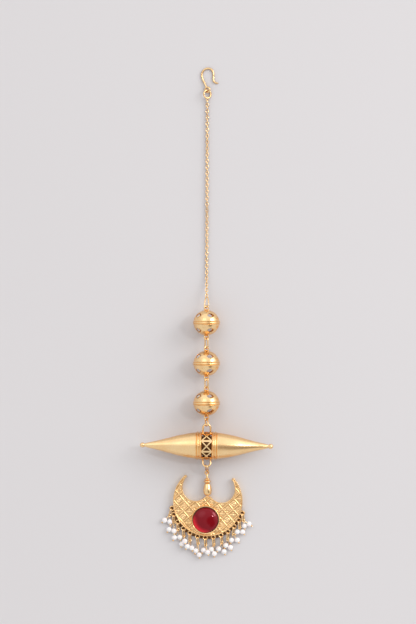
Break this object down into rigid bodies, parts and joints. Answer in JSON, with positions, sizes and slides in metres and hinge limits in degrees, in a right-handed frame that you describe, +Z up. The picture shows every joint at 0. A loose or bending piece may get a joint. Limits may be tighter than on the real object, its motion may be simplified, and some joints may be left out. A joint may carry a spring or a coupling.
{
  "type": "maang tikka",
  "caption": "Forehead jewel: a hair hook on a fine chain, pierced balls, a spindle cross bar and a crescent pendant with a red cabochon and a pearl fringe.",
  "frame": {"origin": "on the resting plane, under the middle of the jewel's length and width", "axes": "+Y from the pearl fringe to the hair hook, +X across along the spindle, +Z up out of the pendant's front face; the jewel lies on its back"},
  "size_m": [0.0512, 0.1899, 0.0111],
  "materials": {
    "gold": "polished gold plating, softly worn",
    "antique_gold": "satin antique gold, darker in the recesses",
    "ruby": "polished deep red cabochon",
    "pearl": "white seed pearl on a gold headpin"
  },
  "bodies": {
    "root": {"ball_1": "gold", "ball_2": "gold", "ball_3": "gold", "ball_link_1": "gold", "ball_link_2": "gold", "chain": "gold", "chain_end_link": "gold", "collar_bead": "gold", "fringe_link_01": "gold", "fringe_link_02": "gold", "fringe_link_03": "gold", "fringe_link_04": "gold", "fringe_link_05": "gold", "fringe_link_06": "gold", "fringe_link_07": "gold", "fringe_link_08": "gold", "fringe_link_09": "gold", "fringe_link_10": "gold", "fringe_link_11": "gold", "fringe_link_12": "gold", "fringe_link_13": "gold", "hair_hook": "gold", "hook_ring": "gold", "pear_bead": "gold", "pearl_drop_01": "pearl", "pearl_drop_02": "pearl", "pearl_drop_03": "pearl", "pearl_drop_04": "pearl", "pearl_drop_05": "pearl", "pearl_drop_06": "pearl", "pearl_drop_07": "pearl", "pearl_drop_08": "pearl", "pearl_drop_09": "pearl", "pearl_drop_10": "pearl", "pearl_drop_11": "pearl", "pearl_drop_12": "pearl", "pearl_drop_13": "pearl", "pearl_drop_14": "pearl", "pearl_drop_15": "pearl", "pearl_drop_16": "pearl", "pearl_drop_17": "pearl", "pearl_drop_18": "pearl", "pearl_drop_19": "pearl", "pearl_drop_20": "pearl", "pearl_drop_21": "pearl", "pearl_drop_22": "pearl", "pearl_drop_23": "pearl", "pearl_drop_24": "pearl", "pearl_drop_25": "pearl", "pearl_drop_26": "pearl", "pendant_crescent": "antique_gold", "pendant_link": "gold", "ruby": "ruby", "spindle": "gold", "spindle_link": "gold", "spindle_ring_lower": "gold", "spindle_ring_upper": "gold"}
  },
  "joints": []
}
